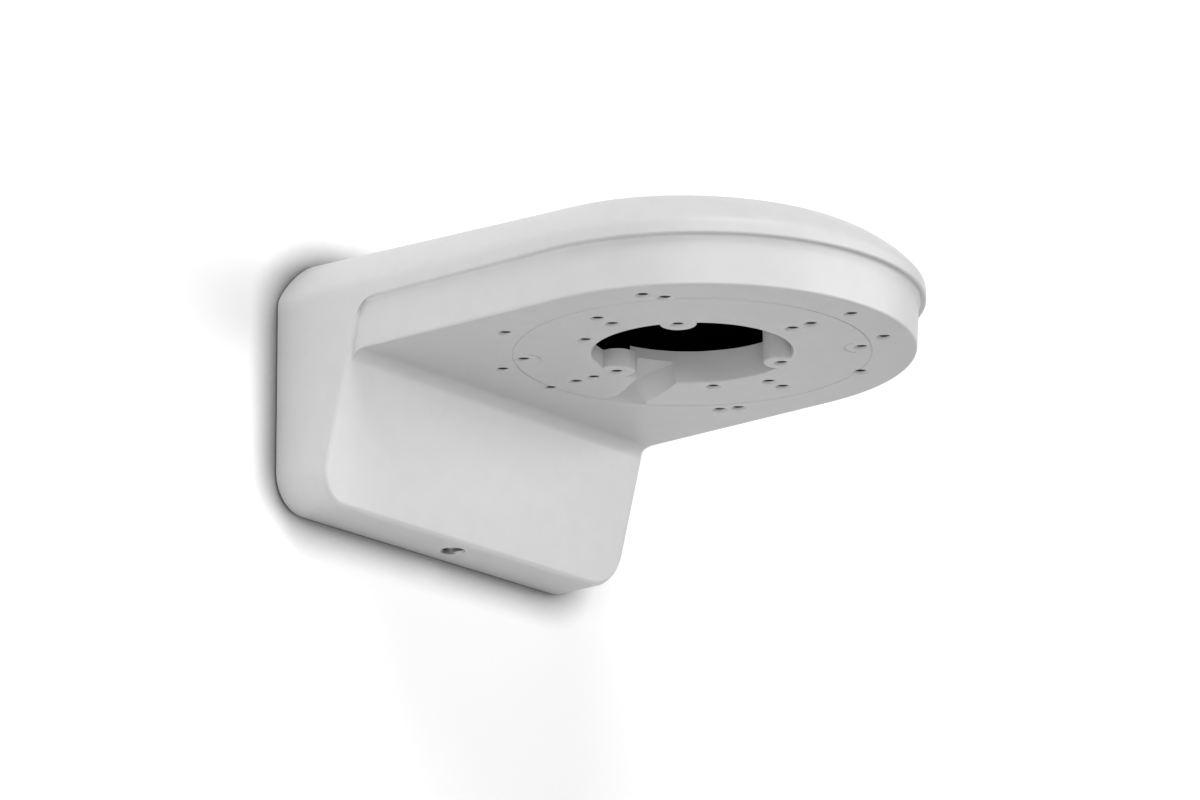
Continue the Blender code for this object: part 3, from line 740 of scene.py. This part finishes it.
def threadedRows(radius, low, high, pitch, depth, perTurn, angles, taper):
    # a thread: radius less depth times a triangle wave of height/pitch less angle/turn,
    # fading in at both ends
    heights = np.linspace(low, high, max(4, round((high - low) / pitch * perTurn)))
    phase = (heights[:, None] - low) / pitch - angles[None, :] / math.tau
    wave = 2 * np.abs(phase - np.floor(phase) - 0.5)
    ends = np.minimum(heights - low, high - heights)[:, None] / taper
    r = radius - depth * (1 - wave) - depth * np.clip(1 - ends, 0, 1) * wave
    return r, np.repeat(heights[:, None], len(angles), axis=1)


nearAxis = 0.00002                # a turned shape closes this far from its axis


def ringRows(profile, angles):
    # plain turned rows from (radius, height) pairs
    profile = np.asarray(profile, float)
    return np.repeat(profile[:, :1], len(angles), axis=1), np.repeat(profile[:, 1:], len(angles), axis=1)


def stackRows(*parts):
    # joins the rows of a turned shape and gives them as points about the z axis
    r = np.vstack([part[0] for part in parts])
    z = np.vstack([part[1] for part in parts])
    angles = np.arange(r.shape[1]) * math.tau / r.shape[1]
    return np.stack([r * np.cos(angles), r * np.sin(angles), z], axis=-1)


def setScrewPiece(material):
    # a headless screw: hexagon socket below, cup point above, the thread all the way between
    low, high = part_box("locking_screw")
    radius, z0, z1 = (high.x - low.x) / 2, low.z, high.z
    angles = np.arange(setScrew["columns"]) * math.tau / setScrew["columns"]
    turn = math.radians(60)
    hexagon = setScrew["socket"] / np.cos((angles + turn / 2) % turn - turn / 2)
    depth, edge = setScrew["socketDepth"], setScrew["chamfer"]
    heights = np.array([z0 + depth, z0 + setScrew["socketLead"], z0])
    swell = np.array([1.0, 1.0, setScrew["socketFlare"]])
    socket = (swell[:, None] * hexagon[None, :], np.repeat(heights[:, None], len(angles), axis=1))
    thread = threadedRows(radius, z0 + edge, z1 - edge, setScrew["pitch"], setScrew["threadDepth"],
                          setScrew["rowsPerTurn"], angles, setScrew["threadFade"])
    cup = [(radius - edge, z1 - 0.0001), (radius * setScrew["cupRim"], z1),
           (radius * setScrew["cupEdge"], z1 - 0.0001), (nearAxis, z1 - setScrew["cupDepth"])]
    points = stackRows(ringRows([(nearAxis, z0 + depth + setScrew["socketCone"])], angles), socket,
                       ringRows([(radius - edge, z0)], angles), thread, ringRows(cup, angles))
    points += (0, (low.y + high.y) / 2, 0)
    return shaded(gridSolid("set_screw", points, (material,)), 35)


lockPiece = setScrewPiece(turnedStainless((0.0, lock["y"])))
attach(lockPiece, "lock_screw")
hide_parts("locking_screw")
print("set screw:", len(lockPiece.data.polygons), "faces")


wallScrew = {
    "core": 0.0012,
    "outer": 0.00188,
    "pitch": 0.0018,
    "ridge": 0.16,                # width of a flight, as a share of the pitch
    "point": 0.005,
    "neck": 0.003,                # plain length below the head
    "headHeight": 0.0026,
    "headEdge": 0.0009,
    "dome": 0.0011,
    "recess": 0.0016,
    "armHalf": 0.00055,           # the cross recess: half the width of an arm, and its reach
    "armReach": 0.0022,
    "armEnd": 0.0009,
    "armWall": 0.00018,
    "columns": 96,
}
washer = {"bore": 0.0022, "rounding": 0.00018, "burr": 0.0001}
plug = {
    "outer": 0.0035,
    "bore": 0.00225,
    "slot": 0.0009,
    "slotFrom": 0.011,
    "ribs": 5,
    "ribStart": 0.0022,
    "ribPitch": 0.0036,
    "ribDepth": 0.0005,
}


def towardsRoom(points, x, y, z):
    # a shape about the z axis laid so that its z points to the room, -y, from (x, y, z)
    return np.stack([x + points[..., 0], y - points[..., 2], z + points[..., 1]], axis=-1)


def wallScrewPiece(name, node, material):
    # pan head with a cross recess, and a coarse thread of thin flights that ends in a point
    low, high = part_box(node)
    middle = (low + high) / 2
    headRadius, edge = (high.x - low.x) / 2, wallScrew["headEdge"]
    core, outer, neck = wallScrew["core"], wallScrew["outer"], wallScrew["neck"]
    under = high.y - low.y - wallScrew["headHeight"]
    angles = np.arange(wallScrew["columns"]) * math.tau / wallScrew["columns"]
    # shank: core plus a narrow ridge where the helix passes, both shrinking over the point
    heights = np.linspace(0, under - 0.0002, 190)
    phase = heights[:, None] / wallScrew["pitch"] - angles[None, :] / math.tau
    ridge = np.exp(-((phase - np.floor(phase) - 0.5) / wallScrew["ridge"]) ** 2)
    taper = np.clip(heights / wallScrew["point"], 0.01, 1) ** 0.75
    shank = np.clip((under - neck - heights) / 0.001, 0, 1)
    r = (core + (outer - core) * ridge * shank[:, None]) * taper[:, None]
    thread = (r, np.repeat(heights[:, None], len(angles), axis=1))
    rim = arcPoints((headRadius - edge, under + edge), edge, -60, 20, 7)
    # dome: a parabola, sunk by the recess where either arm of the cross passes
    domeR = np.linspace(headRadius * 0.95, 0.00003, 44)
    domeZ = under + wallScrew["headHeight"] - wallScrew["dome"] * (domeR / headRadius) ** 2
    x, y = domeR[:, None] * np.cos(angles), domeR[:, None] * np.sin(angles)
    small, large = np.minimum(abs(x), abs(y)), np.maximum(abs(x), abs(y))
    reach = np.clip((wallScrew["armReach"] - large) / wallScrew["armEnd"], 0, 1)
    slot = np.clip((wallScrew["armHalf"] - small) / wallScrew["armWall"], 0, 1) * reach
    dome = (np.repeat(domeR[:, None], len(angles), axis=1), domeZ[:, None] - wallScrew["recess"] * slot)
    points = stackRows(ringRows([(nearAxis, 0.0)], angles), thread,
                       ringRows([(outer, under - 0.0001), (headRadius - 0.0006, under)], angles),
                       ringRows(rim, angles), dome)
    return shaded(gridSolid(name, towardsRoom(points, middle.x, high.y, middle.z), (material,)), 40)


def ringSolid(name, section, steps, place, material):
    # a closed section of (radius, height) carried once round its axis, facing the room from place
    loops = turnedLoops(section, steps)
    rows, columns, _ = loops.shape
    index = np.arange(rows * columns).reshape(rows, columns)
    right, up = np.roll(index, -1, axis=1), np.roll(index, -1, axis=0)
    quads = np.stack([index, right, np.roll(right, -1, axis=0), up], axis=-1).reshape(-1, 4)
    return meshObject(name, towardsRoom(loops, *place).reshape(-1, 3), quads.tolist(), (material,))


def washerPiece(name, node, material):
    # stamped washer: rounded on its outer edge, sharp on its bore
    low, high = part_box(node)
    middle = (low + high) / 2
    outer, thick = (high.x - low.x) / 2, high.y - low.y
    inner, soft, burr = washer["bore"], washer["rounding"], washer["burr"]
    section = np.vstack([[(inner + burr, 0)], arcPoints((outer - soft, soft), soft, -90, 0, 5),
                         arcPoints((outer - soft, thick - soft), soft, 0, 90, 5),
                         [(inner + burr, thick), (inner, thick - burr), (inner, burr)]])
    return shaded(ringSolid(name, section, 96, (middle.x, high.y, middle.z), material), 35)


def plugPiece(name, node, material):
    # expansion plug: saw-tooth ribs outside, a plain bore, and two slots that let it spread
    low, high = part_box(node)
    middle = (low + high) / 2
    bore, outer, length = plug["bore"], plug["outer"], high.y - low.y
    root, flange = outer - plug["ribDepth"], (high.x - low.x) / 2
    section = [(bore, 0.0), (outer - 0.0007, 0.0), (root, 0.0012)]
    for rib in range(plug["ribs"]):
        start = plug["ribStart"] + rib * plug["ribPitch"]
        section += [(root, start), (outer, start + 0.0004),
                    (outer - 0.0001, start + 0.0009), (root, start + 0.0027)]
    section += [(root, length - 0.0016), (flange - 0.0001, length - 0.0004), (flange, length - 0.0001),
                (flange - 0.0003, length), (bore + 0.0003, length), (bore, length - 0.0003)]
    made = ringSolid(name, section, 72, (middle.x, high.y, middle.z), material)
    half, wide = plug["slot"] / 2, outer + 0.001
    for x, z in ((half, wide), (wide, half)):
        corners = np.array([(-x, -z), (x, -z), (x, z), (-x, z)]) + (middle.x, middle.z)
        cut = np.stack([np.column_stack([corners[:, 0], np.full(4, y), corners[:, 1]])
                        for y in (low.y + plug["slotFrom"], high.y + 0.001)])
        combine(made, gridSolid("slot", cut, (material,)), "DIFFERENCE")
    return settle(made, name, 30)


plateZinc = zincPlatedSteel("zinc_plated_sheet", zinc["bright"], zinc["dull"], (0.06, 1.0, 1.0))
screwZinc = zincPlatedSteel("zinc_plated_screw", zinc["screwBright"], zinc["screwDull"], (1.0, 0.2, 1.0))
plugNylon = mouldedPolyamide()
for number in range(1, 5):
    fixings = ((f"pan_screw_{number}", f"wall_screw_{number}", wallScrewPiece, screwZinc),
               (f"flat_washer_{number}", f"wall_washer_{number}", washerPiece, screwZinc),
               (f"wall_plug_{number}", f"wall_anchor_{number}", plugPiece, plugNylon))
    for name, node, build, material in fixings:
        piece = build(name, node, material)
        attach(piece, "wall_side")
        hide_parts(node)
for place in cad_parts["wall_plate"].material_slots:
    place.material = plateZinc
print("wall screws, washers and plugs made")


stage = {
    "wallColour": "#F6F6F6",
    "wallFoot": "#6E6E6E",        # the wall darkens from footFrom down to footTo
    "footFrom": -0.17,
    "footTo": -0.46,
    "floorColour": "#BDBDBD",
    "floorLevel": -2.4,
    "reach": 4.0,
    "behind": 0.0002,
    "contactReach": 0.011,        # how far the painted shade reaches from where the bracket touches the wall
    "contactShade": 0.2,          # and what it leaves of the paint's tone
    # painted light: the wall glows faintly in its own colour
    "glow": 0.10,
}


def stageMaterial(name, colour, clearBehind):
    # matt wall paint; a wall darkens well below the bracket, so that less light comes back up from it,
    # and it is clear from behind, so that the bracket's back can be looked at
    material, tree, place = newMaterial(name)
    paint = addNode(tree, "ShaderNodeBsdfPrincipled", inputs={
        "Base Color": linearColour(colour), "Roughness": 0.9})
    paint.inputs["Specular IOR Level"].default_value = 0.2
    if clearBehind:
        height = addNode(tree, "ShaderNodeSeparateXYZ", inputs={"Vector": place}).outputs["Z"]
        share = addNode(tree, "ShaderNodeMapRange", {"interpolation_type": "SMOOTHSTEP"}, {
            "Value": height, "From Min": stage["footTo"], "From Max": stage["footFrom"]})
        tone = addNode(tree, "ShaderNodeMix", {"data_type": "RGBA"}, {
            0: share.outputs["Result"], 6: linearColour(stage["wallFoot"]), 7: linearColour(colour)})
        # painted shade where the bracket touches the wall: an occlusion node darkens the paint's colour
        near = addNode(tree, "ShaderNodeAmbientOcclusion", {"samples": 8}, {
            "Distance": stage["contactReach"]})
        contact = addNode(tree, "ShaderNodeMapRange", inputs={
            "Value": near.outputs["AO"], "From Min": 0.5, "From Max": 1.0, "To Min": stage["contactShade"]})
        shaded = addNode(tree, "ShaderNodeMix", {"data_type": "RGBA", "blend_type": "MULTIPLY"}, {
            0: 1.0, 6: tone.outputs[2], 7: contact.outputs["Result"]})
        tree.links.new(shaded.outputs[2], paint.inputs["Base Color"])
        # the wall glows faintly in its own colour: painted light, as the wall is no lamp
        tree.links.new(shaded.outputs[2], paint.inputs["Emission Color"])
        paint.inputs["Emission Strength"].default_value = stage["glow"]
        side = addNode(tree, "ShaderNodeNewGeometry").outputs["Backfacing"]
        clear = addNode(tree, "ShaderNodeBsdfTransparent")
        paint = addNode(tree, "ShaderNodeMixShader", inputs={"Fac": side})
        tree.links.new(tree.nodes["Principled BSDF"].outputs[0], paint.inputs[1])
        tree.links.new(clear.outputs[0], paint.inputs[2])
    finishMaterial(tree, paint)
    return material


def sheetObject(name, corners, material):
    mesh = bpy.data.meshes.new(name)
    mesh.from_pydata(corners, [], [(0, 1, 2, 3)])
    made = bpy.data.objects.new(name, mesh)
    bpy.context.scene.collection.objects.link(made)
    mesh.materials.append(material)
    return made


wide, level, behind = stage["reach"], stage["floorLevel"], stage["behind"]
wallCorners = [(-wide, behind, level), (wide, behind, level), (wide, behind, wide), (-wide, behind, wide)]
floorCorners = [(-wide, -wide, level), (wide, -wide, level), (wide, wide, level), (-wide, wide, level)]
sheetObject("stage_wall", wallCorners, stageMaterial("stage_wall_paint", stage["wallColour"], True))
sheetObject("stage_floor", floorCorners, stageMaterial("stage_floor_paint", stage["floorColour"], False))

# soft boxes: place, size across in metres, watts
lights = {
    "front": ((0.7, -2.2, -0.02), 0.9, 19.0),
    "frontLeft": ((-1.6, -1.7, -0.02), 1.2, 15.0),
    "right": ((1.9, -1.6, 0.1), 1.2, 15.5),
    "top": ((-0.6, -1.5, 1.7), 1.4, 26.0),
    "low": ((-0.48, -0.66, -0.40), 0.4, 1.7),
    "back": ((0.8, 2.2, 1.0), 2.0, 25.0),
}
target = (cadBox[0] + cadBox[1]) / 2


def softBox(name, place, size, watts):
    lamp = bpy.data.lights.new(name, "AREA")
    lamp.shape = "DISK"
    lamp.size = size
    lamp.energy = watts
    made = bpy.data.objects.new(name, lamp)
    made.location = place
    made.rotation_euler = (target - Vector(place)).to_track_quat("-Z", "Y").to_euler()
    made.visible_camera = False
    bpy.context.scene.collection.objects.link(made)


for name, (place, size, watts) in lights.items():
    softBox("light_" + name, place, size, watts)
world = bpy.data.worlds.new("studio")
world.use_nodes = True
sky = world.node_tree
direction = addNode(sky, "ShaderNodeTexCoord").outputs["Generated"]
height = addNode(sky, "ShaderNodeSeparateXYZ", inputs={"Vector": direction})
shade = addNode(sky, "ShaderNodeMapRange", inputs={
    "Value": height.outputs["Z"], "From Min": -0.25, "From Max": 0.35, "To Min": 0.1, "To Max": 1.0})
background = sky.nodes["Background"]
sky.links.new(shade.outputs["Result"], background.inputs["Color"])
background.inputs["Strength"].default_value = 0.04
bpy.context.scene.world = world

view = {
    "place": (-1.11145, -0.95968, -0.44065), "azimuth": -51.0, "elevation": -16.87, "roll": -0.40,
    "lens": 170.82, "sensor": 36.0, "shiftX": -0.00067, "shiftY": 0.00131,
}


def studioCamera():
    # looks from below on the left, along the direction given by azimuth and elevation
    a, e, roll = (math.radians(view[key]) for key in ("azimuth", "elevation", "roll"))
    back = Vector((math.sin(a) * math.cos(e), -math.cos(a) * math.cos(e), math.sin(e)))
    right = Vector((math.cos(a), math.sin(a), 0.0))
    up = back.cross(right)
    x = right * math.cos(roll) + up * math.sin(roll)
    y = up * math.cos(roll) - right * math.sin(roll)
    lens = bpy.data.cameras.new("studio_camera")
    lens.lens, lens.sensor_width = view["lens"], view["sensor"]
    lens.shift_x, lens.shift_y = view["shiftX"], view["shiftY"]
    lens.clip_start, lens.clip_end = 0.01, 100.0
    made = bpy.data.objects.new("studio_camera", lens)
    made.matrix_world = Matrix((x, y, back)).transposed().to_4x4()
    made.matrix_world.translation = Vector(view["place"])
    bpy.context.scene.collection.objects.link(made)
    return made


bpy.context.scene.camera = studioCamera()
bpy.context.scene.view_settings.view_transform = "Standard"
bpy.context.scene.view_settings.look = "None"
print("stage, lights and camera set")
